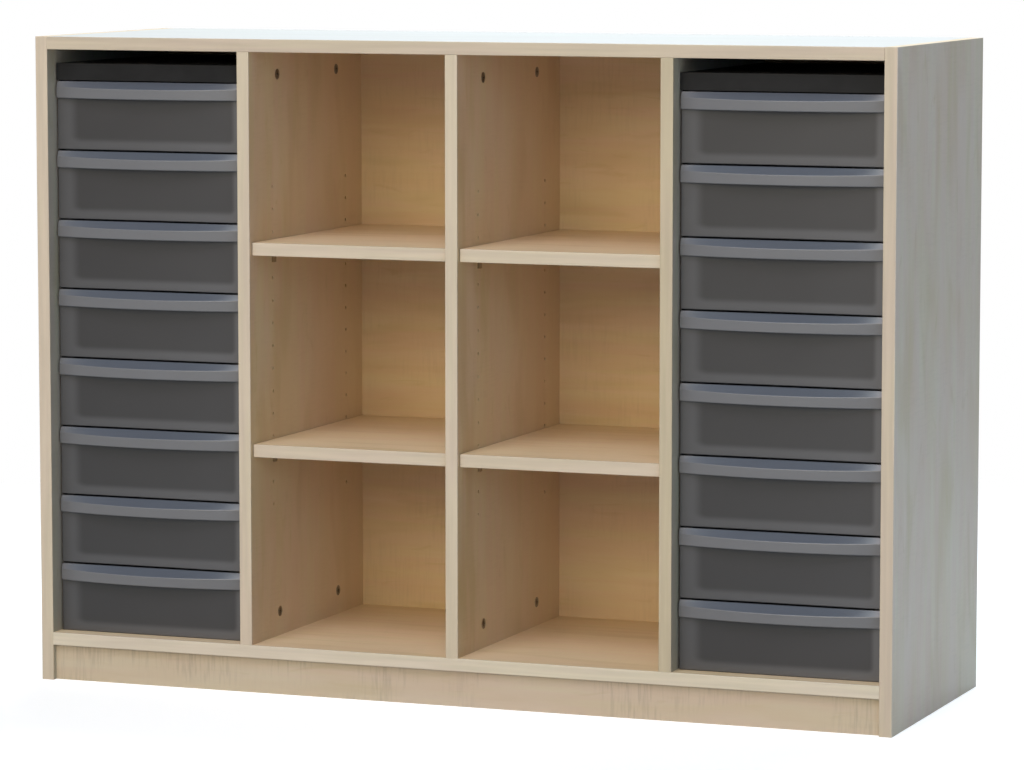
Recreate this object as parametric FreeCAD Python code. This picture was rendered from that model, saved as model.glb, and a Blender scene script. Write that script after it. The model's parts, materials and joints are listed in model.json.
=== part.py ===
import FreeCAD, Part
import math
import os
from collections import namedtuple

# Classroom tray storage unit: a free-standing laminated cabinet with four equal bays.
# Each outer bay holds a plastic casing with a stack of pull-out trays.
# Each inner bay holds shelves on pins in rows of holes.
# Millimetres. X runs along the width, Y from the front (-) to the back (+), Z up.
# The origin is on the floor, at the middle of the width and of the depth.

Vector = FreeCAD.Vector

# ---- boards ----
board = 18.0                 # thickness of the boards
edging_radius = 1.0          # rounding of the banded front edges
depth = 420.0                # front edge to rear edge of the side boards
bay_count = 4
plinth_height = 50.4         # floor to the underside of the bottom board
plinth_setback = 9.0         # front plinth behind the front edges
rear_plinth_inset = 30.0     # rear plinth in front of the rear edges
back_thickness = 8.0
back_inset = 15.0            # back panel in front of the rear edges
groove_depth = 7.0           # grooves that hold the back panel
groove_side_gap = 0.1        # back panel to each side of its groove
groove_end_gap = 0.5         # back panel to the bottom of its groove

# ---- tray stack ----
tray_count = 8               # trays in each outer bay
tray_pitch = 98.0            # height taken by one tray
casing_width = 287.0         # outside width of the casing and of the tray fronts
casing_side_gap = 2.5        # casing to the cabinet wall, each side
casing_wall = 2.5
casing_rear_gap = 6.0        # casing to the back panel
cap_height = 23.8            # closed box on top of the tray stack
cap_overhang = 1.5           # cap past the casing walls, each side
cap_corner_radius = 1.2
cap_edge_radius = 1.0
head_room = 19.8             # cap to the top board
lap_height = 6.0             # tongue of a casing wall inside the cap
lap_gap = 0.1
base_groove_depth = 1.3      # groove in the casing base that the walls stand in

# ---- one tray ----
tray_setback = 26.0          # tray fronts behind the front edges of the boards
tray_wall = 2.2
front_rim_depth = 5.0        # turned-back rim of the tray front
front_edge_radius = 1.5
front_bottom_gap = 0.3       # tray front above the foot of its space
tub_side_inset = 14.5        # inside of the tub to the end of the tray front, at each side
tub_floor_rise = 9.2         # inside of the tub above the lower edge of the tray front
tub_corner_radius = 8.0
tray_top_gap = 1.7           # tray top below the foot of the next space
tray_rear_gap = 3.0          # tray to the casing's back
front_to_casing_gap = 0.5    # rim of the tray front to the casing walls
rim_side_gap = 0.8           # tray rim to the casing wall
rib_side_gap = 1.0           # tray side to the runner rib
running_gap = 0.3            # height between sliding faces
rib_thickness = 3.0          # runner ribs on the casing walls
stop_gap_below_rib = 0.4
stop_height = 4.0
stop_length = 8.0
stop_reach = 6.0             # stop lug beyond the tray side
nub_length = 4.0
nub_reach = 5.5              # stop nub beyond the casing wall
tray_travel = 290.0          # pull before the stop lugs meet the stop nubs

# ---- tray handle lip ----
lip_reach_ends = 3.0         # lip in front of the tray front, at its ends
lip_reach_middle = 19.0      # and at the middle of its bow
lip_drop_ends = 7.8          # fall of the lip's top face, at its ends
lip_drop_middle = 9.7        # and at the middle
lip_height = 23.7            # tray top to the lower edge of the lip
lip_edge_radius = 1.5        # rounding of the lip's upper and lower front edges
lip_end_radius = 1.2         # rounding of the front edges at its ends
lip_sections = 9             # places along the lip where its profile is set out

# ---- shelves and their pins ----
shelves_per_bay = 2
shelf_setback = 8.0          # shelf edge behind the front edges
shelf_end_gap = 1.0          # shelf to the cabinet wall, each end
shelf_back_gap = 1.0
pin_hole_radius = 2.5
pin_hole_depth = 8.5
pin_pitch = 32.0
pin_rows = 15                # holes in one column
pin_front_distance = 78.0    # front column of holes behind the front edges
pin_rear_distance = 60.0     # rear column of holes in front of the back panel
support_height = 14.0
support_pin_distance = 3.83  # pin centre to the nearer of the support's flat ends
support_width = 5.0
support_reach = 5.0
support_corner_radius = 1.0
pin_fit = 0.05               # radial gap of a pin, dowel or thread in its hole
pin_end_gap = 0.5

# ---- knock-down fittings ----
cam_radius = 7.4
cam_thickness = 12.5
cam_hole_depth = 13.0
cam_fit = 0.1
cam_end_distance = 34.0      # cam centre to the end of its board
cam_front_distance = 97.5    # front cams behind the front edges
cam_rear_distance = 92.0     # rear cams in front of the back panel
cam_slot_width = 1.6
cam_slot_length = 8.0
cam_slot_depth = 2.5
cam_mouth_radius = 3.6       # opening in the cam for the bolt head
bolt_thread_radius = 2.5
bolt_thread_length = 11.0
bolt_shank_radius = 3.0
bolt_head_radius = 3.3
bolt_head_length = 3.0
bolt_neck_radius = 2.0
bolt_neck_length = 5.0
bolt_hole_radius = 4.0
dowel_radius = 4.0
dowel_length = 30.0
dowel_in_face = 10.0         # part of a dowel that stands in a board's face
dowel_chamfer = 1.0
dowel_distance = 32.0        # dowel to the cam beside it
plinth_dowel_edge = 15.0     # plinth dowels to the plinth's upper and lower edges

# ---- screws ----
screw_radius = 1.9
screw_head_radius = 3.8
screw_head_height = 2.4
screw_slot_width = 0.9
screw_slot_depth = 1.2
back_screw_length = 35.0
back_screws_per_divider = 4
back_screw_edge = 60.0       # end screws to the bay's floor and ceiling
casing_screw_length = 16.0
casing_screw_side = 40.0     # casing screws to the casing's sides
casing_screw_end = 50.0      # and to the ends of its base

# ---- derived places ----
bay_width = casing_width + 2 * casing_side_gap
bay_height = tray_count * tray_pitch + cap_height + head_room
width = bay_count * bay_width + (bay_count + 1) * board
left, right = -width / 2, width / 2
front, rear = -depth / 2, depth / 2
bay_floor = plinth_height + board
bay_ceiling = bay_floor + bay_height
height = bay_ceiling + board
back_face = rear - back_inset - back_thickness
tray_front = front + tray_setback
casing_front = tray_front + front_rim_depth + front_to_casing_gap
casing_rear = back_face - casing_rear_gap
casing_half = casing_width / 2
casing_inner_half = casing_half - casing_wall
wall_top = bay_floor + tray_count * tray_pitch
tray_rear = casing_rear - casing_wall - tray_rear_gap
tray_inner_half = casing_half - tub_side_inset
tray_outer_half = tray_inner_half + tray_wall
rim_half = casing_inner_half - rim_side_gap
tray_top = tray_pitch - tray_top_gap
tray_floor = front_bottom_gap + tub_floor_rise
rim_underside = tray_top - tray_wall
rib_top = rim_underside - running_gap
rib_bottom = rib_top - rib_thickness
rib_half = tray_outer_half + rib_side_gap
stop_top = rib_bottom - stop_gap_below_rib
pin_columns = (front + pin_front_distance, back_face - pin_rear_distance)
cam_columns = (front + cam_front_distance, back_face - cam_rear_distance)
dowel_columns = (cam_columns[0] - dowel_distance, cam_columns[1] + dowel_distance)
shelf_bays = {"left": 1, "right": 2}
tray_bays = {"left": 0, "right": bay_count - 1}
dividers = {"left": 1, "centre": 2, "right": 3}

X, Y, Z = Vector(1, 0, 0), Vector(0, 1, 0), Vector(0, 0, 1)
same_place = 1e-4            # coordinates closer than this are equal
overshoot = 1.0              # cutting tools run this far past open faces

# A cam joint or a dowel: point is where it crosses the joint, into points into the
# board whose end it stands in (end_board), and face_board is the board that it meets.
CamJoint = namedtuple("CamJoint", "point into face end_board face_board")
Dowel = namedtuple("Dowel", "point into end_board face_board")


# ---- geometry helpers ----
def box(x, y, z):
    """A block between the pairs of coordinates x, y and z."""
    return Part.makeBox(x[1] - x[0], y[1] - y[0], z[1] - z[0], Vector(x[0], y[0], z[0]))


def rod(radius, start, direction, length):
    return Part.makeCylinder(radius, length, start, direction)


def cut(shape, tools):
    """The shape less all the tools."""
    return shape.cut(Part.makeCompound(tools)).removeSplitter() if tools else shape


def joined(shapes):
    """Overlapping solids as one solid."""
    return shapes[0].multiFuse(shapes[1:]).removeSplitter().Solids[0]


def edges_on(shape, **planes):
    """The straight or curved edges that lie wholly on the given planes, such as y=0."""
    found = []
    for edge in shape.Edges:
        b = edge.BoundBox
        spans = {"x": (b.XMin, b.XMax), "y": (b.YMin, b.YMax), "z": (b.ZMin, b.ZMax)}
        ends = [abs(v - at) for axis, at in planes.items() for v in spans[axis]]
        if max(ends) < same_place:
            found.append(edge)
    return found


def bay_left(index):
    """X of the left wall of a bay, counted from 0 at the left."""
    return left + board + index * (bay_width + board)


def bay_middle(index):
    return bay_left(index) + bay_width / 2


# ---- joints between boards ----
def divider_x(index):
    """X of the middle of the divider that stands to the left of a bay."""
    return bay_left(index) - board / 2


def cam_joints():
    joints = []
    for y in cam_columns:
        for name, index in dividers.items():
            at = divider_x(index)
            joints.append(CamJoint(Vector(at, y, bay_ceiling), -Z, X, name + "_divider", "top_board"))
            joints.append(CamJoint(Vector(at, y, bay_floor), Z, X, name + "_divider", "bottom_board"))
        for side, x, inward in (("left", left + board, X), ("right", right - board, -X)):
            for end_board, z in (("top_board", bay_ceiling), ("bottom_board", plinth_height)):
                middle = Vector(x, y, z + board / 2)
                joints.append(CamJoint(middle, inward, -Z, end_board, side + "_side"))
    return joints


def board_dowels():
    dowels = []
    for y in dowel_columns:
        for name, index in dividers.items():
            at = divider_x(index)
            dowels.append(Dowel(Vector(at, y, bay_ceiling), -Z, name + "_divider", "top_board"))
            dowels.append(Dowel(Vector(at, y, bay_floor), Z, name + "_divider", "bottom_board"))
        for side, x, inward in (("left", left + board, X), ("right", right - board, -X)):
            for end_board, z in (("top_board", bay_ceiling), ("bottom_board", plinth_height)):
                dowels.append(Dowel(Vector(x, y, z + board / 2), inward, end_board, side + "_side"))
    return dowels


def plinth_dowels():
    dowels = []
    for name, span in plinth_spans().items():
        y = sum(span) / 2
        for z in (plinth_dowel_edge, plinth_height - plinth_dowel_edge):
            dowels.append(Dowel(Vector(left + board, y, z), X, name, "left_side"))
            dowels.append(Dowel(Vector(right - board, y, z), -X, name, "right_side"))
    return dowels


def cam_holes(name):
    """The holes that the cam joints need in one board."""
    holes = []
    for j in cam_joints():
        if j.end_board == name:
            centre = j.point + j.into * cam_end_distance
            holes.append(rod(cam_radius + cam_fit, centre + j.face * (board / 2), -j.face, cam_hole_depth))
            holes.append(rod(bolt_hole_radius, j.point, j.into, cam_end_distance))
        elif j.face_board == name:
            holes.append(rod(bolt_thread_radius + pin_fit, j.point, -j.into,
                             bolt_thread_length + pin_end_gap))
    return holes


def dowel_holes(name):
    holes = []
    for d in board_dowels() + plinth_dowels():
        if d.end_board == name:
            length = dowel_length - dowel_in_face + pin_end_gap
            holes.append(rod(dowel_radius + pin_fit, d.point, d.into, length))
        elif d.face_board == name:
            holes.append(rod(dowel_radius + pin_fit, d.point, -d.into, dowel_in_face + pin_end_gap))
    return holes


def drilled(name, shape):
    """A board with the holes of its cam joints and dowels."""
    return cut(shape, cam_holes(name) + dowel_holes(name))


# ---- cabinet boards ----
def upright_board(x, z, y):
    """A standing board with both front edges rounded."""
    shape = box(x, y, z)
    edges = edges_on(shape, y=y[0], x=x[0]) + edges_on(shape, y=y[0], x=x[1])
    return shape.makeFillet(edging_radius, edges)


def lying_board(x, z, y):
    """A level board with both front edges rounded."""
    shape = box(x, y, z)
    edges = edges_on(shape, y=y[0], z=z[0]) + edges_on(shape, y=y[0], z=z[1])
    return shape.makeFillet(edging_radius, edges)


def back_groove():
    """The space that the back panel's grooves open, in all four boards round it."""
    return box((left + board - groove_depth, right - board + groove_depth),
               (back_face - groove_side_gap, back_face + back_thickness + groove_side_gap),
               (bay_floor - groove_depth, bay_ceiling + groove_depth))


def side_board(name, x):
    shape = upright_board(x, (0, height), (front, rear))
    return drilled(name, cut(shape, [back_groove()]))


def level_board(name, z):
    shape = lying_board((left + board, right - board), z, (front, rear))
    return drilled(name, cut(shape, [back_groove()]))


def divider(name, index):
    middle = divider_x(index)
    x = (middle - board / 2, middle + board / 2)
    shape = upright_board(x, (bay_floor, bay_ceiling), (front, back_face))
    return drilled(name, cut(shape, pin_holes(*x) + back_screw_pilots(middle)))


def back_panel():
    shape = box((left + board - groove_depth + groove_end_gap, right - board + groove_depth - groove_end_gap),
                (back_face, back_face + back_thickness),
                (bay_floor - groove_depth + groove_end_gap, bay_ceiling + groove_depth - groove_end_gap))
    holes = [screw(at, -Y, back_screw_length, pin_fit) for at in back_screw_places()]
    return cut(shape, holes)


def plinth_spans():
    """Front and rear faces of the two plinth boards."""
    front_face = front + plinth_setback
    rear_face = rear - rear_plinth_inset
    return {"front_plinth": (front_face, front_face + board), "rear_plinth": (rear_face - board, rear_face)}


def plinth(name):
    shape = box((left + board, right - board), plinth_spans()[name], (0, plinth_height))
    return drilled(name, shape)


# ---- shelves, pin holes and supports ----
def pin_heights():
    """Heights of the holes in one column, centred on the bay."""
    middle = (bay_floor + bay_ceiling) / 2
    return [middle + (i - (pin_rows - 1) / 2) * pin_pitch for i in range(pin_rows)]


def shelf_seats():
    """For each shelf, from the lowest, its underside and the hole that carries it.

    A support stands either way up, so a shelf lies at one of two heights above a hole.
    Each shelf takes the height nearest to an even division of the bay."""
    offsets = (support_pin_distance, support_height - support_pin_distance)
    choices = [(z + offset, z) for z in pin_heights() for offset in offsets]
    cell = (bay_height - shelves_per_bay * board) / (shelves_per_bay + 1)
    seats = []
    for i in range(shelves_per_bay):
        even = bay_floor + (i + 1) * cell + i * board
        seats.append(min(choices, key=lambda c: abs(c[0] - even)))
    return seats


def pin_holes(low_x, high_x):
    """Holes in those faces of a divider that look into a shelf bay."""
    faces = []
    for index in shelf_bays.values():
        faces += [(bay_left(index), -X), (bay_left(index) + bay_width, X)]
    return [rod(pin_hole_radius, Vector(x, y, z), inward, pin_hole_depth)
            for x, inward in faces if low_x - same_place < x < high_x + same_place
            for y in pin_columns for z in pin_heights()]


def shelf(index, underside):
    x = (bay_left(index) + shelf_end_gap, bay_left(index) + bay_width - shelf_end_gap)
    return lying_board(x, (underside, underside + board), (front + shelf_setback, back_face - shelf_back_gap))


def shelf_support(x, outward, y, underside, hole):
    """A block under the shelf with its pin in the hole."""
    near, far = sorted((x, x + outward.x * support_reach))
    block = box((near, far), (y - support_width / 2, y + support_width / 2),
                (underside - support_height, underside))
    free_end = x + outward.x * support_reach
    block = block.makeFillet(support_corner_radius, edges_on(block, x=free_end))
    pin_length = pin_hole_depth - pin_end_gap
    root = Vector(x, y, hole) + outward * overshoot
    pin = rod(pin_hole_radius - pin_fit, root, -outward, pin_length + overshoot)
    return joined([block, pin])


def shelf_supports():
    supports = []
    for index in shelf_bays.values():
        for x, outward in ((bay_left(index), X), (bay_left(index) + bay_width, -X)):
            supports += [shelf_support(x, outward, y, underside, hole)
                         for y in pin_columns for underside, hole in shelf_seats()]
    return Part.makeCompound(supports)


# ---- fittings ----
def cross_slots(centre, axis, across, length, width, slot_depth):
    """Two crossed slots cut into a head from its centre, along axis."""
    other = axis.cross(across)
    tools = []
    for along, thick in ((across, other), (other, across)):
        corner = centre - along * (length / 2) - thick * (width / 2)
        far_corner = corner + along * length + thick * width
        sides = [corner, corner + along * length, far_corner, corner + thick * width, corner]
        face = Part.Face(Part.makePolygon(sides))
        tools.append(face.extrude(axis * slot_depth))
    return tools


def cam_housing(j):
    centre = j.point + j.into * cam_end_distance
    top = centre + j.face * (board / 2)
    body = rod(cam_radius, top, -j.face, cam_thickness)
    mouth = rod(cam_mouth_radius, centre - j.into * (cam_radius + overshoot), j.into,
                cam_radius + overshoot + cam_mouth_radius)
    slots = cross_slots(top, -j.face, j.into, cam_slot_length, cam_slot_width, cam_slot_depth)
    return cut(body, [mouth] + slots).Solids[0]


def cam_bolt(j):
    head_end = cam_end_distance + bolt_head_length / 2
    head_start = head_end - bolt_head_length
    neck_start = head_start - bolt_neck_length
    return joined([
        rod(bolt_thread_radius, j.point + j.into * same_place, -j.into, bolt_thread_length),
        rod(bolt_shank_radius, j.point, j.into, neck_start),
        rod(bolt_neck_radius, j.point, j.into, head_start + overshoot),
        rod(bolt_head_radius, j.point + j.into * head_start, j.into, bolt_head_length)])


def dowel(d):
    start = d.point - d.into * dowel_in_face
    shape = rod(dowel_radius, start, d.into, dowel_length)
    ends = [e for e in shape.Edges if e.isClosed()]
    return shape.makeChamfer(dowel_chamfer, ends)


def screw(head, direction, length, gap=0.0):
    """A countersunk screw from the middle of its head's face; gap grows it into its hole."""
    cone = Part.makeCone(screw_head_radius + gap, screw_radius + gap, screw_head_height, head, direction)
    return joined([cone, rod(screw_radius + gap, head, direction, length)])


def slotted_screw(head, direction, across, length):
    slots = cross_slots(head, direction, across, 2 * screw_radius, screw_slot_width, screw_slot_depth)
    return cut(screw(head, direction, length), slots).Solids[0]


def back_screw_places():
    """Heads of the screws that hold the back panel to the dividers."""
    span = bay_height - 2 * back_screw_edge
    heights = [bay_floor + back_screw_edge + i * span / (back_screws_per_divider - 1)
               for i in range(back_screws_per_divider)]
    return [Vector(divider_x(index), back_face + back_thickness, z)
            for index in dividers.values() for z in heights]


def back_screw_pilots(middle):
    """Pilot holes in a divider's rear edge."""
    reach = back_screw_length - back_thickness + pin_end_gap
    return [rod(screw_radius + pin_fit, Vector(at.x, back_face, at.z), -Y, reach)
            for at in back_screw_places() if abs(at.x - middle) < same_place]


def casing_screw_places(index):
    """Heads of the screws that hold a casing's base to the bottom board."""
    x = casing_half - casing_screw_side
    return [Vector(bay_middle(index) + side * x, y, bay_floor + casing_wall)
            for side in (-1, 1) for y in (casing_front + casing_screw_end, casing_rear - casing_screw_end)]


# ---- tray casing, modelled about the middle of its bay ----
def in_bay(shape, index, rise=0.0):
    return shape.translated(Vector(bay_middle(index), 0, rise))


def casing_base():
    shape = box((-casing_half, casing_half), (casing_front, casing_rear),
                (bay_floor, bay_floor + casing_wall))
    grooves = []
    for side in (-1, 1):
        x = sorted((side * casing_inner_half, side * (casing_inner_half + casing_wall / 2)))
        z = (bay_floor + casing_wall - base_groove_depth, bay_floor + casing_wall + overshoot)
        grooves.append(box(x, (casing_front - overshoot, casing_rear + overshoot), z))
    return cut(shape, grooves)


def tray_foot(number):
    """Height of the foot of a tray's space; tray 1 is the highest."""
    return bay_floor + (tray_count - number) * tray_pitch


def casing_side(side):
    """A casing wall with a runner rib and a stop nub for each tray; side is -1 or 1."""
    def across(inner, outer):
        return sorted((side * inner, side * outer))

    floor = bay_floor + casing_wall
    tongue = casing_inner_half + casing_wall / 2 - lap_gap
    pieces = [
        box(across(casing_inner_half, casing_half), (casing_front, casing_rear), (floor, wall_top)),
        box(across(casing_inner_half, tongue), (casing_front, casing_rear),
            (floor - base_groove_depth + lap_gap, wall_top + lap_height - lap_gap))]
    nub_rear = tray_rear - stop_length - tray_travel - running_gap
    for number in range(1, tray_count + 1):
        foot = tray_foot(number)
        pieces.append(box(across(rib_half, casing_half), (casing_front, casing_rear - casing_wall),
                          (foot + rib_bottom, foot + rib_top)))
        pieces.append(box(across(casing_inner_half - nub_reach, casing_half),
                          (nub_rear - nub_length, nub_rear),
                          (foot + stop_top - stop_height, foot + rib_top)))
    return joined(pieces)


def casing_back():
    return box((-casing_inner_half, casing_inner_half), (casing_rear - casing_wall, casing_rear),
               (bay_floor + casing_wall, wall_top))


def casing_cap():
    """The closed box on top of the stack, open below, lapped over the casing walls."""
    cap_half = casing_half + cap_overhang
    shape = box((-cap_half, cap_half), (tray_front, casing_rear), (wall_top, wall_top + cap_height))
    corners = edges_on(shape, y=tray_front, x=-cap_half) + edges_on(shape, y=tray_front, x=cap_half)
    shape = shape.makeFillet(cap_corner_radius, corners)
    shape = shape.makeFillet(cap_edge_radius, edges_on(shape, z=wall_top + cap_height))
    inside = box((-casing_inner_half, casing_inner_half),
                 (tray_front + casing_wall, casing_rear - casing_wall),
                 (wall_top - overshoot, wall_top + cap_height - casing_wall))
    half = casing_inner_half + casing_wall / 2
    lap = box((-half, half), (casing_front - lap_gap, casing_rear),
              (wall_top - overshoot, wall_top + lap_height))
    back_strip = box((-casing_inner_half, casing_inner_half),
                     (casing_rear - casing_wall, casing_rear + overshoot),
                     (wall_top, wall_top + lap_height + overshoot))
    return joined([cut(shape, [inside, lap]), back_strip.common(shape)])


# ---- one tray, modelled about the middle of its bay with its foot at height 0 ----
def rounded_corner(before, corner, after, radius):
    """Start, middle and end of the arc that rounds the corner between two lines."""
    to_before, to_after = (before - corner).normalize(), (after - corner).normalize()
    half_angle = to_before.getAngle(to_after) / 2
    reach = radius / math.tan(half_angle)
    inward = (to_before + to_after).normalize()
    middle = corner + inward * (radius / math.sin(half_angle) - radius)
    return corner + to_before * reach, middle, corner + to_after * reach


def lip_profile(x, inset):
    """The lip's outline across the tray front at x; inset moves its walls inwards."""
    rise = lip_reach_middle - lip_reach_ends
    bow_radius = (casing_half ** 2 + rise ** 2) / (2 * rise)
    bow = math.sqrt(bow_radius ** 2 - x ** 2) - (bow_radius - rise)
    reach = lip_reach_ends + bow
    drop = lip_drop_ends + (lip_drop_middle - lip_drop_ends) * bow / rise
    top = tray_top - inset
    foot = tray_top - lip_height - (overshoot if inset else 0)
    ridge, upper = Vector(x, tray_front, top), Vector(x, tray_front - reach + inset, top - drop)
    root, lower = Vector(x, tray_front, foot), Vector(x, tray_front - reach + inset, foot)
    if inset:
        return Part.makePolygon([ridge, upper, lower, root, ridge])
    upper_arc = rounded_corner(ridge, upper, lower, lip_edge_radius)
    lower_arc = rounded_corner(upper, lower, root, lip_edge_radius)
    return Part.Wire([
        Part.makeLine(ridge, upper_arc[0]), Part.Arc(*upper_arc).toShape(),
        Part.makeLine(upper_arc[2], lower_arc[0]), Part.Arc(*lower_arc).toShape(),
        Part.makeLine(lower_arc[2], root), Part.makeLine(root, ridge)])


def lip_block(inset):
    """The bowed handle lip as a solid block; inset moves its walls inwards."""
    half = casing_half - inset
    places = [half * (2 * i / (lip_sections - 1) - 1) for i in range(lip_sections)]
    block = Part.makeLoft([lip_profile(x, inset) for x in places], True)
    if inset:
        return block
    ends = [e for x in (-half, half) for e in edges_on(block, x=x)
            if e.BoundBox.YMax < tray_front - same_place]
    return block.makeFillet(lip_end_radius, ends)


def tray_front_plate():
    """The tray front with its turned-back rim, hollow behind."""
    y = (tray_front, tray_front + front_rim_depth)
    shape = box((-casing_half, casing_half), y, (front_bottom_gap, tray_top))
    edges = edges_on(shape, y=tray_front, z=front_bottom_gap)
    for side in (-casing_half, casing_half):
        edges += edges_on(shape, y=tray_front, x=side)
    shape = shape.makeFillet(front_edge_radius, edges)
    inner = casing_half - tray_wall
    hollow = box((-inner, inner), (tray_front + tray_wall, y[1] + overshoot),
                 (front_bottom_gap + tray_wall, tray_top - tray_wall))
    return cut(shape, [hollow])


def tray_tub():
    """The tub's outside, with its lower and rear edges rounded."""
    half = tray_outer_half
    shape = box((-half, half), (tray_front, tray_rear), (tray_floor - tray_wall, tray_top))
    edges = edges_on(shape, y=tray_rear, z=tray_floor - tray_wall)
    for side in (-half, half):
        edges += edges_on(shape, x=side, z=tray_floor - tray_wall) + edges_on(shape, x=side, y=tray_rear)
    return shape.makeFillet(tub_corner_radius + tray_wall, edges)


def tray_cavity():
    """The inside of the tub."""
    half = tray_inner_half
    y = (tray_front + tray_wall, tray_rear - tray_wall)
    shape = box((-half, half), y, (tray_floor, tray_top + overshoot))
    edges = edges_on(shape, z=tray_floor)
    for side in (-half, half):
        edges += edges_on(shape, x=side, y=y[0]) + edges_on(shape, x=side, y=y[1])
    return shape.makeFillet(tub_corner_radius, edges)


def tray():
    rim_y = (tray_front + front_rim_depth - overshoot, tray_rear - tub_corner_radius)
    pieces = [tray_front_plate(), tray_tub()]
    for side in (-1, 1):
        rim = sorted((side * tray_inner_half, side * rim_half))
        pieces.append(box(rim, rim_y, (rim_underside, tray_top)))
        lug = sorted((side * (tray_outer_half - tray_wall / 2), side * (tray_outer_half + stop_reach)))
        lug_y = (tray_rear - stop_length, tray_rear)
        pieces.append(box(lug, lug_y, (stop_top - stop_height, stop_top)))
    pieces.append(lip_block(0))
    return cut(joined(pieces), [tray_cavity(), lip_block(tray_wall)]).Solids[0]


# ---- the whole unit ----
def cabinet_parts():
    parts = {
        "left_side": side_board("left_side", (left, left + board)),
        "right_side": side_board("right_side", (right - board, right)),
        "top_board": level_board("top_board", (bay_ceiling, height)),
        "back_panel": back_panel()}
    bottom = level_board("bottom_board", (plinth_height, bay_floor))
    pilots = [rod(screw_radius + pin_fit, Vector(at.x, at.y, bay_floor), -Z,
                  casing_screw_length - casing_wall)
              for index in tray_bays.values() for at in casing_screw_places(index)]
    parts["bottom_board"] = cut(bottom, pilots)
    for name in plinth_spans():
        parts[name] = plinth(name)
    for name, index in dividers.items():
        parts[name + "_divider"] = divider(name + "_divider", index)
    return parts


def shelf_parts():
    parts = {"shelf_supports": shelf_supports()}
    for bay, index in shelf_bays.items():
        for number, (underside, _) in enumerate(shelf_seats(), 1):
            parts[f"{bay}_bay_shelf_{number}"] = shelf(index, underside)
    return parts


def fitting_parts():
    return {
        "cam_housings": Part.makeCompound([cam_housing(j) for j in cam_joints()]),
        "cam_bolts": Part.makeCompound([cam_bolt(j) for j in cam_joints()]),
        "dowels": Part.makeCompound([dowel(d) for d in board_dowels() + plinth_dowels()]),
        "back_screws": Part.makeCompound([slotted_screw(at, -Y, X, back_screw_length)
                                          for at in back_screw_places()]),
        "casing_screws": Part.makeCompound([slotted_screw(at, -Z, X, casing_screw_length)
                                            for index in tray_bays.values()
                                            for at in casing_screw_places(index)])}


def tray_parts():
    parts = {}
    one_tray = tray()
    for bay, index in tray_bays.items():
        base = in_bay(casing_base(), index)
        holes = [screw(at, -Z, casing_screw_length, pin_fit) for at in casing_screw_places(index)]
        parts[bay + "_casing_base"] = cut(base, holes)
        parts[bay + "_casing_left_wall"] = in_bay(casing_side(-1), index)
        parts[bay + "_casing_right_wall"] = in_bay(casing_side(1), index)
        parts[bay + "_casing_back"] = in_bay(casing_back(), index)
        parts[bay + "_casing_cap"] = in_bay(casing_cap(), index)
        for number in range(1, tray_count + 1):
            parts[f"{bay}_tray_{number}"] = in_bay(one_tray, index, tray_foot(number))
    return parts


def main():
    os.makedirs("parts", exist_ok=True)
    for group in (cabinet_parts(), shelf_parts(), fitting_parts(), tray_parts()):
        for name, shape in group.items():
            shape.exportStep(f"parts/{name}.step")


main()
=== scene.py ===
"""Finishes for a classroom tray storage unit, laid out as an add-on.

The packed model is the frame: every board, tray and fitting keeps its shape and place, and
gets the material of the real piece, with light and shade painted into some of its colours.
One operator finishes each group of like pieces, and one sets the stage.
"""
import json
import math

import bpy
from bpy.props import FloatProperty, FloatVectorProperty, PointerProperty
from mathutils import Euler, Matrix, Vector

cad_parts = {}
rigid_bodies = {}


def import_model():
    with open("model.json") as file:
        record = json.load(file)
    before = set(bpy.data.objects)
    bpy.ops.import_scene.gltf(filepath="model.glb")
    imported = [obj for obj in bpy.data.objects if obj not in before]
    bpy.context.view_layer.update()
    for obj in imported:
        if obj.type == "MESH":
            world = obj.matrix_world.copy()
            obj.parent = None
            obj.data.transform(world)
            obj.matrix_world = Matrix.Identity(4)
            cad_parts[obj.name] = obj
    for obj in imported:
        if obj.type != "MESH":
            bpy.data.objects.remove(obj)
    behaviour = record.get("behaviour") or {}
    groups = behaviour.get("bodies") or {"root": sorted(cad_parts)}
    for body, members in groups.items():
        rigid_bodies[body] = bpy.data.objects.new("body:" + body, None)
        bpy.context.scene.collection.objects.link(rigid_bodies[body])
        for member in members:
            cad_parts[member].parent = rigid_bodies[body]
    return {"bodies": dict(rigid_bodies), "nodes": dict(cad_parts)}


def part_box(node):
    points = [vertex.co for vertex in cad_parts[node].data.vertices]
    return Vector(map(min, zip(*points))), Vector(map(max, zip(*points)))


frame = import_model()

bl_info = {
    "name": "Classroom tray unit finishes",
    "version": (1, 0, 0),
    "blender": (4, 5, 0),
    "location": "3D View > Sidebar > Tray unit",
    "description": "Finishes the boards, trays and fittings of a classroom storage unit",
    "category": "Material",
}

# ---- groups of like pieces, by node name ----
NODES = frame["nodes"]
UPRIGHTS = ["left_side", "right_side", "left_divider", "centre_divider", "right_divider"]
SHELVES = [name for name in NODES if "_bay_shelf_" in name]
PLINTHS = ["front_plinth", "rear_plinth"]
CASINGS = [name for name in NODES if "_casing_" in name]
TRAYS = [name for name in NODES if "_tray_" in name]
SCREWS = ["cam_bolts", "back_screws", "casing_screws"]

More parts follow.
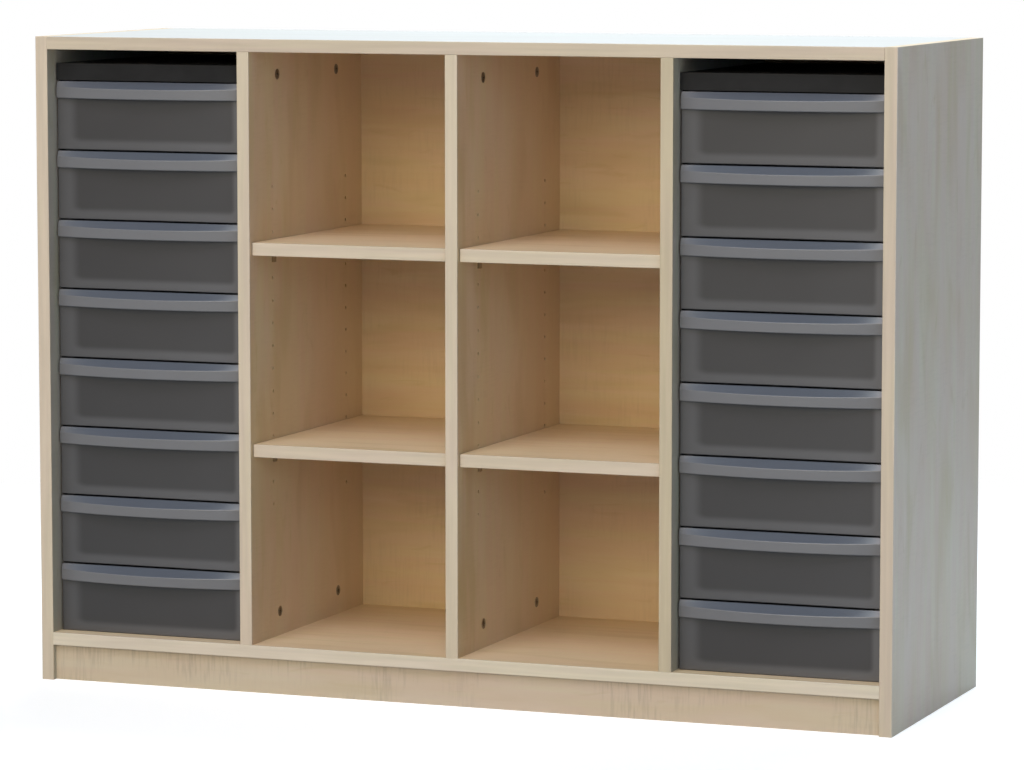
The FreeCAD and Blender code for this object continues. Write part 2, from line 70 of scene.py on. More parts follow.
# ---- sizes that the finishes follow, in metres ----
BAND_THICKNESS = 0.002       # edge banding on the boards' front edges
SEAM_HALF = 0.00025          # half the width of the glue line behind the banding
SKIN = 0.0002                # what counts as lying on a face
LIP_REACH = 0.019            # tray lip in front of the tray front
TRAY_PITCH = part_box("right_tray_7")[0].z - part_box("right_tray_8")[0].z
RIM_LEFT = 0.026             # painted light: paler rim of a tray front, where no tub wall backs it
RIM_RIGHT = 0.0145
RIM_BOTTOM = 0.013
RIM_CORNER = 0.007           # rounding of the darker field inside the rim, the field being painted shade
RIM_BLUR = 0.0045            # half the width of the field's soft edge
LEVEL_FIGURE = 0.030         # width of the figure's bands on level boards
UPRIGHT_FIGURE = 0.055       # and on upright boards
TRAY_GRAIN = 0.0007          # size of the spark-eroded texture on each kind of moulding
SUPPORT_GRAIN = 0.0004
CASING_GRAIN = 0.0009
GRAIN_AXES = {"x": 0, "y": 1, "z": 2}
PIECE_SHIFT = (7.3, 5.1, 9.7)    # each piece's figure moves by its own random share of this

# ---- shares and factors of tone ----
BANDS_SHARE = 1.10           # broad bands, fine lines and fibres in the laminate's tone
LINES_SHARE = 0.40
FIBRES_SHARE = 0.14
TONE_START = -0.36           # so that their sum runs from about 0 to 1
FLECKS_SHARE = 0.8           # short streaks against long ones
BAND_PALER, BAND_DEEPER = 1.10, 0.95    # lines along the edge banding
BAND_HUE = 0.5               # how far the banding takes on the laminate's rosy and straw bands
SEAM_SHARE = 0.35            # strength of the glue line
RIM_LEFT_SLOPE = 0.5         # the field's left edge is softer than the others
LIT_LEFT, LIT_RIGHT = 0.79, 1.22        # painted light: tone of a tray front at its two ends, darker at the left and lighter at the right

# ---- stage ----
FLOOR_HALF = 90.0            # half the floor's side, in metres
FLOOR_FADE = (0.9, 2.4)      # where the floor's fade to white starts and ends, in metres
FLOOR_GLOW = 0.5             # strength of the light that the camera sees added to the floor
LAMP_AIM = Vector((0.0, 0.0, 0.45))     # about the middle of the unit
FRAME_WIDTH = 36.0           # width of the camera's frame, in millimetres


# ---- what a user would change ----
def colour_property(name, description, default):
    return FloatVectorProperty(name=name, description=description, default=default,
                               subtype="COLOR", size=3, min=0.0, max=1.0)


def power_property(name, description, default):
    return FloatProperty(name=name, description=description, default=default, unit="POWER", min=0.0)


def share_property(name, description, default):
    return FloatProperty(name=name, description=description, default=default,
                         subtype="FACTOR", min=0.0, max=1.0)


class MapleLook(bpy.types.PropertyGroup):
    """Colours and figure of the maple laminate, and tints that paint light and shade on it."""
    pale: colour_property("Pale", "Lightest tone of the laminate", (0.68, 0.535, 0.35))
    deep: colour_property("Deep", "Darkest tone of the laminate", (0.62, 0.42, 0.247))
    rose: colour_property("Rose", "Tint of the rosy bands", (1.0, 0.965, 0.975))
    straw: colour_property("Straw", "Tint of the straw-coloured bands", (0.985, 1.0, 0.93))
    streak: colour_property("Streak", "Soft mineral streaks along the grain", (0.52, 0.365, 0.17))
    curl: colour_property("Curl", "Tint of the short cross figure", (0.74, 0.73, 0.74))
    # Painted light: a pale tone mixed into boards where they are lit more
    painted_light_tone: colour_property("Painted pale light", "Pale tone that the boards are bleached to",
                              (1.0, 0.81, 0.57))
    # Painted reflection: the top board's whitish tone stands for the sky it reflects
    painted_top_reflection: colour_property("Painted sky reflection", "Tone that the top board is bleached to", (1.0, 0.81, 0.75))
    banding: colour_property("Banding", "Edge banding of the other boards", (0.56, 0.468, 0.358))
    low_banding: colour_property("Low banding", "Edge banding of the bottom board",
                                 (0.62, 0.543, 0.43))
    dim_banding: colour_property("Dim banding", "Edge banding of the top board and right side",
                                 (0.515, 0.427, 0.33))
    warm_banding: colour_property("Warm banding", "Edge banding of the right divider",
                                  (0.48, 0.40, 0.285))
    # Painted shade: the plinth boards, set back under the bottom board, made darker and cooler
    plinth: colour_property("Plinth", "Tint of the plinth boards", (0.76, 0.82, 0.95))
    # Painted light: cool light on the outer faces of the sides
    painted_outer_light: colour_property("Outside", "Tint of the outer faces of the sides", (0.80, 0.85, 1.0))
    # Painted reflection: the cool sky on the upper face of the top board
    upper: colour_property("Upper", "Tint of the upper face of the top board", (0.67, 0.825, 1.0))
    # Painted shade: the dividers' faces in the open bays made darker and cooler
    inner: colour_property("Open bays", "Tint of the dividers' faces in the open bays",
                           (0.92, 0.94, 0.97))
    # Painted light: light bounced deep in the open bays, as a share of the pale tone
    painted_bay_light_share: share_property("Inner bleach", "Share of the bleached tone deep in the open bays",
                                 0.37)
    # Painted light: cool light on the upright faces beside the trays
    bays: colour_property("Tray bays", "Tint of the upright faces beside the trays",
                          (0.62, 0.76, 1.0))
    roughness: share_property("Roughness", "Roughness of the laminate", 0.42)


class PlasticLook(bpy.types.PropertyGroup):
    """Colours of the trays and their casings, with light and shade painted on the trays."""
    # Painted light: the lip's front and ends are paler than the tray front
    lip: colour_property("Lip", "Front and ends of the tray lip", (0.140, 0.140, 0.148))
    # Painted shade and cool light on the lip's upper face
    painted_lip_top_shade: colour_property("Lip top", "Upper face of the tray lip", (0.098, 0.111, 0.139))
    # Painted light: the rim is paler, where no tub wall backs the front
    rim: colour_property("Rim", "Rim of the tray front", (0.080, 0.078, 0.081))
    # Painted shade: the field is darker where the tub lies behind the front
    field: colour_property("Field", "Tray front with the dark tub behind it", (0.034, 0.032, 0.0325))
    casing: colour_property("Casing", "Casing round the trays", (0.010, 0.010, 0.0105))
    support: colour_property("Support", "Shelf supports", (0.24, 0.15, 0.065))
    roughness: share_property("Roughness", "Roughness of the trays", 0.36)


class FittingLook(bpy.types.PropertyGroup):
    """Colours of the knock-down fittings."""
    zinc: colour_property("Zinc", "Cast cam housings", (0.33, 0.30, 0.26))
    steel: colour_property("Steel", "Plated bolts and screws", (0.55, 0.54, 0.50))
    beech: colour_property("Beech", "Wooden dowels", (0.55, 0.38, 0.22))


class StageLook(bpy.types.PropertyGroup):
    """Floor, light and camera."""
    floor: colour_property("Floor", "Floor", (0.80, 0.80, 0.80))
    sky: colour_property("Sky", "Soft light from all round", (0.86, 0.93, 1.0))
    sky_strength: FloatProperty(name="Sky strength", description="Strength of the soft light",
                                default=0.01, min=0.0)
    key: colour_property("Key", "Large front lamp", (1.0, 0.888, 0.625))
    key_power: power_property("Key power", "Power of the large front lamp", 667.0)
    right: colour_property("Right", "Large lamp at the right of the front", (0.473, 0.718, 1.0))
    right_power: power_property("Right power", "Power of the lamp at the right", 275.0)
    side: colour_property("Side", "Lamp beside the unit", (0.348, 0.60, 1.0))
    side_power: power_property("Side power", "Power of the lamp beside the unit", 113.0)
    high: colour_property("High", "High front lamp", (0.988, 0.898, 1.0))
    high_power: power_property("High power", "Power of the high front lamp", 386.0)
    steep: colour_property("Steep", "Steep front lamp, for the fore part of the shelves",
                           (0.696, 0.917, 1.0))
    steep_power: power_property("Steep power", "Power of the steep front lamp", 202.0)
    top: colour_property("Top", "Lamp above and behind the unit", (0.730, 0.904, 1.0))
    top_power: power_property("Top power", "Power of the lamp above and behind", 110.0)
    lens: FloatProperty(name="Lens", description="Focal length on a frame 36 mm wide",
                        default=159.772, unit="CAMERA")
    yaw: FloatProperty(name="Yaw", description="Camera turned left from the depth axis",
                       default=math.radians(21.174), subtype="ANGLE")
    pitch: FloatProperty(name="Pitch", description="Camera tilted down",
                         default=math.radians(6.180), subtype="ANGLE")
    place: FloatVectorProperty(name="Place", description="Place of the camera",
                               default=(2.30599, -5.93316, 1.11422), subtype="TRANSLATION")


# ---- node trees ----
class Sheet:
    """A node tree, with short ways to add its nodes."""

    def __init__(self, tree):
        self.tree = tree
        tree.nodes.clear()

    def add(self, kind, sockets=None, **settings):
        """Adds a node; sockets gives an input's name or number a value or another socket."""
        node = self.tree.nodes.new("ShaderNode" + kind)
        for name, value in settings.items():
            setattr(node, name, value)
        for key, value in (sockets or {}).items():
            if isinstance(value, bpy.types.NodeSocket):
                self.tree.links.new(value, node.inputs[key])
            else:
                node.inputs[key].default_value = value
        return node

    def math(self, operation, *values):
        return self.add("Math", dict(enumerate(values)), operation=operation).outputs[0]

    def vector_math(self, operation, *values):
        return self.add("VectorMath", dict(enumerate(values)), operation=operation).outputs[0]

    def between(self, value, low, high):
        """0 below low, 1 above high and smooth between."""
        node = self.add("MapRange", {"Value": value, "From Min": low, "From Max": high},
                        interpolation_type="SMOOTHSTEP")
        return node.outputs["Result"]

    def spread(self, value, low, high):
        """A value from 0 to 1 put on the range from low to high."""
        node = self.add("MapRange", {"Value": value, "To Min": low, "To Max": high})
        return node.outputs["Result"]

    def around(self, value, middle, swing):
        """A value from 0 to 1 put on the range within swing of middle."""
        return self.spread(value, middle - swing, middle + swing)

    def noise(self, vector, detail=2.0, distortion=0.0):
        node = self.add("TexNoise", {"Vector": vector, "Scale": 1.0, "Detail": detail,
                                     "Distortion": distortion})
        return node.outputs[0]

    def mix(self, factor, first, second, blend="MIX"):
        node = self.add("Mix", {0: factor, 6: first, 7: second}, data_type="RGBA", blend_type=blend)
        return node.outputs[2]

    def bump(self, height, distance):
        return self.add("Bump", {"Height": height, "Distance": distance}).outputs["Normal"]

    def finish(self, shader):
        self.add("OutputMaterial", {"Surface": shader.outputs[0]})


def rgba(colour):
    return (*colour, 1.0)


def toned(colour, factor):
    """A colour made paler or darker by a factor, with no channel past 1."""
    return tuple(min(1.0, channel * factor) for channel in colour)


def new_material(name):
    material = bpy.data.materials.new(name)
    material.use_nodes = True
    return material, Sheet(material.node_tree)


def own_place(sheet):
    """Coordinates in the frame at rest, and the same shifted by piece, so that figures differ."""
    place = sheet.add("TexCoord").outputs["Object"]
    own = sheet.add("ObjectInfo").outputs["Random"]
    return place, sheet.vector_math("MULTIPLY_ADD", own, PIECE_SHIFT, place)


def stretched(sheet, place, axis, along, across):
    """Coordinates whose unit is along metres on the grain's axis and across metres elsewhere."""
    scale = [1 / across] * 3
    scale[GRAIN_AXES[axis]] = 1 / along
    return sheet.vector_math("MULTIPLY", place, scale)


def scaled(sheet, place, per_metre):
    """Coordinates with per_metre units to the metre, along all axes."""
    return sheet.vector_math("MULTIPLY", place, (per_metre,) * 3)


def give(names, material):
    """Gives the named nodes a material."""
    for name in names:
        mesh = NODES[name].data
        mesh.materials.clear()
        mesh.materials.append(material)


# ---- maple laminate ----
def maple_figure(sheet, place, axis, width):
    """Tone from 0, pale, to 1, deep; and height of the fibres. width is that of the broad bands."""
    bands = sheet.noise(stretched(sheet, place, axis, along=0.20, across=width), distortion=0.4)
    lines = sheet.noise(stretched(sheet, place, axis, along=0.16, across=0.35 * width),
                        distortion=0.8)
    fibres = sheet.noise(stretched(sheet, place, axis, along=0.16, across=0.06 * width))
    tone = sheet.math("MULTIPLY_ADD", bands, BANDS_SHARE, TONE_START)
    tone = sheet.math("MULTIPLY_ADD", lines, LINES_SHARE, tone)
    return sheet.math("MULTIPLY_ADD", fibres, FIBRES_SHARE, tone), fibres


def curled(sheet, colour, place, axis, look, share):
    """Adds the short cross figure, in loose clusters."""
    patches = sheet.noise(stretched(sheet, place, axis, along=0.10, across=0.07), detail=1.0)
    curl = sheet.noise(stretched(sheet, place, axis, along=0.0032, across=0.034), detail=1.0)
    curl = sheet.math("MULTIPLY", sheet.between(curl, low=0.42, high=0.76),
                      sheet.between(patches, low=0.34, high=0.60))
    return sheet.mix(sheet.math("MULTIPLY", curl, share), colour,
                     sheet.mix(1.0, colour, rgba(look.curl), blend="MULTIPLY"))


def flecked(sheet, colour, place, axis, look, width, share):
    """Adds soft mineral streaks, long and short, along the grain."""
    streaks = sheet.noise(stretched(sheet, place, axis, along=0.26, across=1.2 * width),
                          distortion=0.6)
    streaks = sheet.spread(sheet.between(streaks, low=0.50, high=0.72), 0.0, share)
    colour = sheet.mix(streaks, colour, rgba(look.streak))
    flecks = sheet.noise(stretched(sheet, place, axis, along=0.065, across=0.4 * width),
                         distortion=1.0)
    flecks = sheet.spread(sheet.between(flecks, low=0.60, high=0.78), 0.0, FLECKS_SHARE * share)
    return sheet.mix(flecks, colour, rgba(look.streak))


def maple_tint(sheet, place, axis, look):
    """Soft rosy and straw-coloured bands along the grain."""
    hue = sheet.noise(stretched(sheet, place, axis, along=0.30, across=0.026), distortion=0.6)
    return sheet.mix(sheet.between(hue, low=0.38, high=0.62), rgba(look.rose), rgba(look.straw))


def painted_light_zone(sheet, colour, parts, zone):
    """Tints the faces whose distance from the origin, along one axis, lies between two limits, to
    paint light and shade on them.
    """
    letter, near, far, tint = zone
    reach = sheet.math("ABSOLUTE", parts[letter])
    inside = sheet.math("MULTIPLY", sheet.math("GREATER_THAN", reach, near),
                        sheet.math("LESS_THAN", reach, far))
    return sheet.mix(inside, colour, sheet.mix(1.0, colour, rgba(tint), blend="MULTIPLY"))


def painted_deep_bay_light(sheet, colour, parts, look, reach):
    """Paints light on the faces within reach of the middle: a pale tone, more and more towards the
    rear, for light bounced deep in the open bays.
    """
    low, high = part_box("centre_divider")
    depth = sheet.between(parts["Y"], low.y, high.y)
    inside = sheet.math("LESS_THAN", sheet.math("ABSOLUTE", parts["X"]), reach)
    factor = sheet.math("MULTIPLY", sheet.math("MULTIPLY", depth, inside), look.painted_bay_light_share)
    return sheet.mix(factor, colour, rgba(look.painted_light_tone))


def banded(sheet, colour, parts, shifted, axis, look, hue, front, banding):
    """Covers the front edge, at Y = front, with banding and draws the glue line behind it."""
    seam_at = front + BAND_THICKNESS
    lines = sheet.noise(stretched(sheet, shifted, axis, along=0.16, across=0.007))
    band = sheet.mix(sheet.between(lines, low=0.2, high=0.8), rgba(toned(banding, BAND_PALER)),
                     rgba(toned(banding, BAND_DEEPER)))
    band = sheet.mix(BAND_HUE, band, hue, blend="MULTIPLY")
    colour = sheet.mix(sheet.math("LESS_THAN", parts["Y"], seam_at), colour, band)
    seam = sheet.math("COMPARE", parts["Y"], seam_at, SEAM_HALF)
    return sheet.mix(sheet.math("MULTIPLY", seam, SEAM_SHARE), colour, rgba(look.streak))


def maple_material(name, look, axis, width=LEVEL_FIGURE, streaks=0.38, curl=0.2, painted_light_share=0.0,
                   painted_light_tone=None, banded_front=None, banding=None, painted_light_zones=(), open_reach=None):
    """Laminate with its grain along axis.

    width is that of the figure's bands. streaks and curl are the strengths of the mineral streaks
    and of the cross figure, and bleach is the share of the pale tone, bleached, that is mixed in,
    painted light where the board is lit more. banded_front is the Y of a banded front edge, and
    banding its colour. Each entry in zones is a letter of an axis, two distances and a tint of
    painted light and shade. open_reach is how far the open bays reach from the middle; within it,
    painted light pales the faces towards the rear."""
    material, sheet = new_material(name)
    place, shifted = own_place(sheet)
    tone, fibres = maple_figure(sheet, shifted, axis, width)
    colour = sheet.mix(tone, rgba(look.pale), rgba(look.deep))
    colour = flecked(sheet, colour, shifted, axis, look, width, streaks)
    colour = curled(sheet, colour, shifted, axis, look, curl)
    hue = maple_tint(sheet, shifted, axis, look)
    colour = sheet.mix(1.0, colour, hue, blend="MULTIPLY")
    # Painted light: a share of the pale tone, where the board is lit more
    if painted_light_share:
        colour = sheet.mix(painted_light_share, colour, rgba(painted_light_tone or look.painted_light_tone))
    parts = sheet.add("SeparateXYZ", {0: place}).outputs
    # Painted light and shade, as tints by zone
    for zone in painted_light_zones:
        colour = painted_light_zone(sheet, colour, parts, zone)
    # Painted light: paler towards the rear of the open bays
    if open_reach:
        colour = painted_deep_bay_light(sheet, colour, parts, look, open_reach)
    if banded_front is not None:
        colour = banded(sheet, colour, parts, shifted, axis, look, hue, banded_front,
                        banding or look.banding)
    shader = sheet.add("BsdfPrincipled", {
        "Base Color": colour,
        "Roughness": sheet.around(fibres, look.roughness, swing=0.06),
        "Normal": sheet.bump(fibres, distance=0.00008)})
    sheet.finish(shader)
    return material


# ---- plastics ----
def moulded_grain(sheet, place, size):
    """Fine spark-eroded texture of moulded plastic."""
    return sheet.noise(scaled(sheet, place, per_metre=1 / size), detail=1.0)


def painted_rim_light_mask(sheet, across, up, half):
    """1 on the rim of a tray front and 0 in the field inside it: the mask between painted light on
    the rim and painted shade in the field.

    across is the distance from the middle of the front, up the height above its lower edge and
    half its half width."""
    past_left = sheet.math("SUBTRACT", RIM_LEFT - half, across)
    past_right = sheet.math("SUBTRACT", across, half - RIM_RIGHT)
    past_side = sheet.math("MAXIMUM", sheet.math("MULTIPLY", past_left, RIM_LEFT_SLOPE),
                           past_right)
    past_foot = sheet.math("SUBTRACT", RIM_BOTTOM, up)
    corner = [sheet.math("MAXIMUM", sheet.math("ADD", past, RIM_CORNER), 0.0)
              for past in (past_side, past_foot)]
    round_past = sheet.math("SQRT", sheet.math("ADD", sheet.math("POWER", corner[0], 2.0),
                                               sheet.math("POWER", corner[1], 2.0)))
    return sheet.between(round_past, RIM_CORNER - RIM_BLUR, RIM_CORNER + RIM_BLUR)


def grey(sheet, value):
    """A grey from a socket's value."""
    return sheet.add("CombineColor", {0: value, 1: value, 2: value}).outputs[0]


def tray_material(look):
    """Smoke plastic with light and shade painted on: palest in the lip and darkest where the tub lies
    behind the front.
    """
    material, sheet = new_material("tray_smoke")
    place, shifted = own_place(sheet)
    low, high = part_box("right_tray_8")
    middle, half = (low.x + high.x) / 2, (high.x - low.x) / 2
    parts = sheet.add("SeparateXYZ", {0: place}).outputs
    from_middle = sheet.math("SUBTRACT", sheet.math("ABSOLUTE", parts["X"]), middle)
    across = sheet.math("MULTIPLY", from_middle, sheet.math("SIGN", parts["X"]))
    up = sheet.math("FLOORED_MODULO", sheet.math("SUBTRACT", parts["Z"], low.z), TRAY_PITCH)
    # Painted light on the rim and painted shade in the field
    colour = sheet.mix(painted_rim_light_mask(sheet, across, up, half), rgba(look.field), rgba(look.rim))
    # Painted light: the front is darker at its left end and lighter at its right end
    lit = sheet.add("MapRange", {"Value": across, "From Min": -half, "From Max": half,
                                 "To Min": LIT_LEFT, "To Max": LIT_RIGHT}).outputs["Result"]
    colour = sheet.mix(1.0, colour, grey(sheet, lit), blend="MULTIPLY")
    # Painted light: the lip is paler, and its upper face is painted darker and cooler as shade
    at_lip = sheet.math("LESS_THAN", parts["Y"], low.y + LIP_REACH - SKIN)
    facing = sheet.add("SeparateXYZ", {0: sheet.add("NewGeometry").outputs["Normal"]}).outputs
    lip = sheet.mix(sheet.between(facing["Z"], low=0.3, high=0.9), rgba(look.lip),
                    rgba(look.painted_lip_top_shade))
    colour = sheet.mix(at_lip, colour, lip)
    cloud = sheet.noise(sheet.vector_math("MULTIPLY", shifted, (9.0, 9.0, 22.0)))
    colour = sheet.mix(1.0, colour, grey(sheet, sheet.around(cloud, 1.0, swing=0.04)),
                       blend="MULTIPLY")
    grain = moulded_grain(sheet, shifted, TRAY_GRAIN)
    shader = sheet.add("BsdfPrincipled", {
        "Base Color": colour,
        "Roughness": sheet.around(cloud, look.roughness, swing=0.04),
        "Normal": sheet.bump(grain, distance=0.00002)})
    sheet.finish(shader)
    return material


def plain_plastic(name, colour, roughness, grain_size, gloss=0.5):
    """Opaque moulded plastic, a little uneven in tone."""
    material, sheet = new_material(name)
    _, shifted = own_place(sheet)
    cloud = sheet.noise(scaled(sheet, shifted, per_metre=25.0), detail=3.0)
    grain = moulded_grain(sheet, shifted, grain_size)
    shader = sheet.add("BsdfPrincipled", {
        "Base Color": sheet.mix(sheet.between(cloud, low=0.35, high=0.75), rgba(colour),
                                rgba(toned(colour, 1.5))),
        "Roughness": sheet.around(cloud, roughness, swing=0.07),
        "Specular IOR Level": gloss,
        "Normal": sheet.bump(grain, distance=0.00006)})
    sheet.finish(shader)
    return material


# ---- fittings ----
def dull_metal(name, colour, roughness):
    """Cast or plated metal with dark specks."""
    material, sheet = new_material(name)
    _, shifted = own_place(sheet)
    cloud = sheet.noise(scaled(sheet, shifted, per_metre=260.0), detail=4.0)
    shader = sheet.add("BsdfPrincipled", {
        "Base Color": sheet.mix(cloud, rgba(toned(colour, 0.55)), rgba(colour)),
        "Metallic": 1.0,
        "Roughness": sheet.around(cloud, roughness, swing=0.1),
        "Normal": sheet.bump(cloud, distance=0.00008)})
    sheet.finish(shader)
    return material


def dowel_material(look):
    """Turned beech with small flecks."""
    material, sheet = new_material("beech_dowel")
    _, shifted = own_place(sheet)
    fleck = sheet.noise(scaled(sheet, shifted, per_metre=900.0))
    shader = sheet.add("BsdfPrincipled", {
        "Base Color": sheet.mix(fleck, rgba(look.beech), rgba(toned(look.beech, 0.7))),
        "Roughness": 0.7,
        "Normal": sheet.bump(fleck, distance=0.0001)})
    sheet.finish(shader)
    return material


# ---- operators: one for each group of like pieces ----
class TRAY_UNIT_OT_finish_uprights(bpy.types.Operator):
    """Give the sides and dividers their laminate, with upright grain"""
    bl_idname = "tray_unit.finish_uprights"
    bl_label = "Sides and dividers"

    def execute(self, context):
        look = context.scene.tray_unit_maple
        low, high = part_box("right_side")
        divider_low, divider_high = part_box("right_divider")
        # Painted light and shade: darker, cooler faces in the open bays, and cool light on the faces
        # beside the trays and on the outer faces
        painted_light_zones = [("X", -SKIN, divider_low.x + SKIN, look.inner),
                 ("X", divider_high.x - SKIN, low.x + SKIN, look.bays),
                 ("X", high.x - SKIN, high.x + SKIN, look.painted_outer_light)]
        finish = {"axis": "z", "width": UPRIGHT_FIGURE, "streaks": 0.5, "curl": 0.15,
                  "banded_front": low.y, "painted_light_zones": painted_light_zones, "open_reach": divider_low.x + SKIN}
        give(UPRIGHTS, maple_material("maple_upright", look, **finish))
        for name, banding in (("right_divider", look.warm_banding), ("right_side", look.dim_banding)):
            give([name], maple_material("maple_" + name, look, banding=banding, **finish))
        return {"FINISHED"}


class TRAY_UNIT_OT_finish_levels(bpy.types.Operator):
    """Give the top and bottom boards and the shelves their laminate, with level grain"""
    bl_idname = "tray_unit.finish_levels"
    bl_label = "Top, bottom and shelves"

    def execute(self, context):
        look = context.scene.tray_unit_maple
        low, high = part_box("top_board")
        # Painted reflection of the sky on the top board's upper face, and painted light as a share of
        # the pale tone on these boards
        painted_light_zones = [("Z", high.z - SKIN, high.z + SKIN, look.upper)]
        give(["top_board"], maple_material("maple_top", look, "x", painted_light_share=0.4,
                                           painted_light_tone=look.painted_top_reflection, banded_front=low.y,
                                           banding=look.dim_banding, painted_light_zones=painted_light_zones))
        give(["bottom_board"], maple_material("maple_bottom", look, "x", streaks=0.9, painted_light_share=0.4,
                                              banded_front=low.y, banding=look.low_banding))
        give(SHELVES, maple_material("maple_shelf", look, "x", streaks=0.9, painted_light_share=0.4,
                                     banded_front=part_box(SHELVES[0])[0].y))
        return {"FINISHED"}


class TRAY_UNIT_OT_finish_plinths(bpy.types.Operator):
    """Give the plinth boards their laminate"""
    bl_idname = "tray_unit.finish_plinths"
    bl_label = "Plinths"

    def execute(self, context):
        look = context.scene.tray_unit_maple
        low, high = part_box("front_plinth")
        # Painted shade: the plinth boards, under the bottom board, made darker and cooler
        painted_light_zones = [("Z", low.z - SKIN, high.z + SKIN, look.plinth)]
        give(PLINTHS, maple_material("maple_plinth", look, "x", curl=0.9, painted_light_share=0.2, painted_light_zones=painted_light_zones))
        return {"FINISHED"}


class TRAY_UNIT_OT_finish_back(bpy.types.Operator):
    """Give the back panel its laminate"""
    bl_idname = "tray_unit.finish_back"
    bl_label = "Back panel"

    def execute(self, context):
        look = context.scene.tray_unit_maple
        # Painted light: a small share of the pale tone
        give(["back_panel"], maple_material("maple_back", look, "x", painted_light_share=0.03))
        return {"FINISHED"}


class TRAY_UNIT_OT_finish_supports(bpy.types.Operator):
    """Give the shelf supports their plastic"""
    bl_idname = "tray_unit.finish_supports"
    bl_label = "Shelf supports"

    def execute(self, context):
        look = context.scene.tray_unit_plastic
        give(["shelf_supports"], plain_plastic("support_plastic", look.support, roughness=0.5,
                                               grain_size=SUPPORT_GRAIN))
        return {"FINISHED"}


class TRAY_UNIT_OT_finish_fittings(bpy.types.Operator):
    """Give the cams, bolts, screws and dowels their metal and wood"""
    bl_idname = "tray_unit.finish_fittings"
    bl_label = "Fittings"

    def execute(self, context):
        look = context.scene.tray_unit_fittings
        give(["cam_housings"], dull_metal("cast_zinc", look.zinc, roughness=0.32))
        give(SCREWS, dull_metal("plated_steel", look.steel, roughness=0.32))
        give(["dowels"], dowel_material(look))
        return {"FINISHED"}


class TRAY_UNIT_OT_finish_casings(bpy.types.Operator):
    """Give the casings round the trays their dark plastic"""
    bl_idname = "tray_unit.finish_casings"
    bl_label = "Casings"

    def execute(self, context):
        look = context.scene.tray_unit_plastic
        give(CASINGS, plain_plastic("casing_plastic", look.casing, roughness=0.5,
                                    grain_size=CASING_GRAIN, gloss=0.15))
        return {"FINISHED"}


class TRAY_UNIT_OT_finish_trays(bpy.types.Operator):
    """Give the trays their smoke plastic"""
    bl_idname = "tray_unit.finish_trays"
    bl_label = "Trays"

    def execute(self, context):
        give(TRAYS, tray_material(context.scene.tray_unit_plastic))
        return {"FINISHED"}


# ---- stage ----
def floor_plane(look):
    """A floor that fades to the white backdrop away from the unit."""
    mesh = bpy.data.meshes.new("floor")
    half = FLOOR_HALF
    mesh.from_pydata([(-half, -half, 0), (half, -half, 0), (half, half, 0), (-half, half, 0)], [],
                     [(0, 1, 2, 3)])
    floor = bpy.data.objects.new("floor", mesh)
    bpy.context.scene.collection.objects.link(floor)
    material, sheet = new_material("floor")
    place = sheet.add("TexCoord").outputs["Object"]
    away = sheet.add("VectorMath", {0: place}, operation="LENGTH").outputs["Value"]
    diffuse = sheet.add("BsdfDiffuse", {"Color": rgba(look.floor)})
    glow = sheet.add("Emission", {"Color": (1, 1, 1, 1), "Strength": FLOOR_GLOW})
    white = sheet.add("Emission", {"Color": (1, 1, 1, 1), "Strength": 1.0})
    near = sheet.add("AddShader", {0: diffuse.outputs[0], 1: glow.outputs[0]})
    faded = sheet.add("MixShader", {0: sheet.between(away, *FLOOR_FADE), 1: near.outputs[0],
                                    2: white.outputs[0]})
    seen = sheet.add("LightPath").outputs["Is Camera Ray"]
    shader = sheet.add("MixShader", {0: seen, 1: diffuse.outputs[0], 2: faded.outputs[0]})
    sheet.finish(shader)
    mesh.materials.append(material)


def soft_lamp(name, colour, power, size, azimuth, elevation, distance):
    """A lamp facing the middle of the unit, azimuth to the right of the front."""
    turn, lift = math.radians(azimuth), math.radians(elevation)
    towards = Vector((math.sin(turn) * math.cos(lift), -math.cos(turn) * math.cos(lift),
                      math.sin(lift)))
    data = bpy.data.lights.new(name, "AREA")
    data.shape, data.size, data.size_y = "RECTANGLE", size[0], size[1]
    data.color, data.energy = colour, power
    lamp = bpy.data.objects.new(name, data)
    lamp.location = LAMP_AIM + towards * distance
    lamp.rotation_euler = towards.to_track_quat("Z", "Y").to_euler()
    lamp.visible_camera = False
    bpy.context.scene.collection.objects.link(lamp)


def sky(look):
    """White where it is seen directly or in a reflection, and soft cool light elsewhere."""
    world = bpy.data.worlds.new("sky")
    world.use_nodes = True
    sheet = Sheet(world.node_tree)
    path = sheet.add("LightPath").outputs
    seen = sheet.math("MAXIMUM", path["Is Camera Ray"], path["Is Glossy Ray"])
    seen = sheet.math("MAXIMUM", seen, path["Is Transmission Ray"])
    light = sheet.add("Background", {"Color": rgba(look.sky), "Strength": look.sky_strength})
    white = sheet.add("Background", {"Color": (1, 1, 1, 1), "Strength": 1.0})
    both = sheet.add("MixShader", {0: seen, 1: light.outputs[0], 2: white.outputs[0]})
    sheet.add("OutputWorld", {"Surface": both.outputs[0]})
    bpy.context.scene.world = world


def camera(look):
    """The camera, in front and to the right of the unit."""
    data = bpy.data.cameras.new("camera")
    data.sensor_fit, data.sensor_width, data.lens = "HORIZONTAL", FRAME_WIDTH, look.lens
    seen_from = bpy.data.objects.new("camera", data)
    seen_from.location = look.place
    seen_from.rotation_euler = Euler((math.pi / 2 - look.pitch, 0, look.yaw))
    bpy.context.scene.collection.objects.link(seen_from)
    bpy.context.scene.camera = seen_from


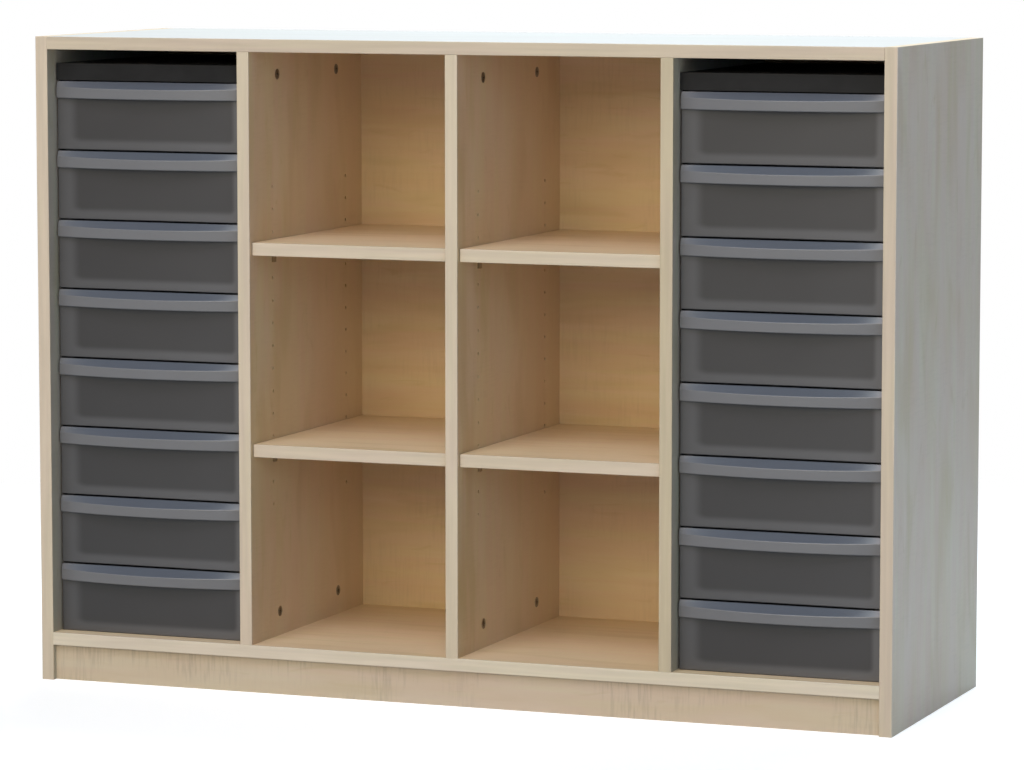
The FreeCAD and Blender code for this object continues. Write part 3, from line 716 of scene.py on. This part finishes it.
class TRAY_UNIT_OT_build_stage(bpy.types.Operator):
    """Add the floor, the soft lamps, the sky and the camera"""
    bl_idname = "tray_unit.build_stage"
    bl_label = "Stage"

    def execute(self, context):
        look = context.scene.tray_unit_stage
        floor_plane(look)
        soft_lamp("key", look.key, look.key_power, size=(8.0, 4.5),
                  azimuth=0, elevation=19, distance=14.0)
        soft_lamp("right", look.right, look.right_power, size=(7.0, 6.0),
                  azimuth=42, elevation=14, distance=14.0)
        soft_lamp("side", look.side, look.side_power, size=(3.0, 3.0),
                  azimuth=108, elevation=6, distance=6.0)
        soft_lamp("high", look.high, look.high_power, size=(7.0, 4.0),
                  azimuth=0, elevation=45, distance=10.0)
        soft_lamp("steep", look.steep, look.steep_power, size=(7.0, 4.0),
                  azimuth=0, elevation=62, distance=9.0)
        soft_lamp("top", look.top, look.top_power, size=(2.6, 1.6),
                  azimuth=180, elevation=62, distance=3.2)
        sky(look)
        camera(look)
        context.scene.view_settings.view_transform = "Standard"
        return {"FINISHED"}


class TRAY_UNIT_PT_sidebar(bpy.types.Panel):
    """Lists the finishes and their settings"""
    bl_idname = "TRAY_UNIT_PT_sidebar"
    bl_label = "Tray unit"
    bl_space_type = "VIEW_3D"
    bl_region_type = "UI"
    bl_category = "Tray unit"

    def draw(self, context):
        layout = self.layout
        for operator in OPERATORS:
            layout.operator(operator.bl_idname)
        for group, pointer in LOOKS:
            box = layout.box()
            box.label(text=group.__doc__)
            for name in group.__annotations__:
                box.prop(getattr(context.scene, pointer), name)


LOOKS = [(MapleLook, "tray_unit_maple"), (PlasticLook, "tray_unit_plastic"),
         (FittingLook, "tray_unit_fittings"), (StageLook, "tray_unit_stage")]
OPERATORS = [
    TRAY_UNIT_OT_finish_uprights, TRAY_UNIT_OT_finish_levels, TRAY_UNIT_OT_finish_plinths,
    TRAY_UNIT_OT_finish_back, TRAY_UNIT_OT_finish_supports, TRAY_UNIT_OT_finish_fittings,
    TRAY_UNIT_OT_finish_casings, TRAY_UNIT_OT_finish_trays, TRAY_UNIT_OT_build_stage]


def register():
    for group, pointer in LOOKS:
        bpy.utils.register_class(group)
        setattr(bpy.types.Scene, pointer, PointerProperty(type=group))
    for cls in [*OPERATORS, TRAY_UNIT_PT_sidebar]:
        bpy.utils.register_class(cls)


def unregister():
    for cls in reversed([*OPERATORS, TRAY_UNIT_PT_sidebar]):
        bpy.utils.unregister_class(cls)
    for group, pointer in reversed(LOOKS):
        delattr(bpy.types.Scene, pointer)
        bpy.utils.unregister_class(group)


def clear_start_up_objects():
    """Removes the objects that aren't the frame's."""
    kept = set(frame["nodes"].values()) | set(frame["bodies"].values())
    for thing in [o for o in bpy.data.objects if o not in kept]:
        bpy.data.objects.remove(thing)


def main():
    """Runs every operator."""
    clear_start_up_objects()
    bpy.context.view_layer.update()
    register()
    for operator in OPERATORS:
        group, name = operator.bl_idname.split(".")
        getattr(getattr(bpy.ops, group), name)()


if __name__ == "__main__":
    main()
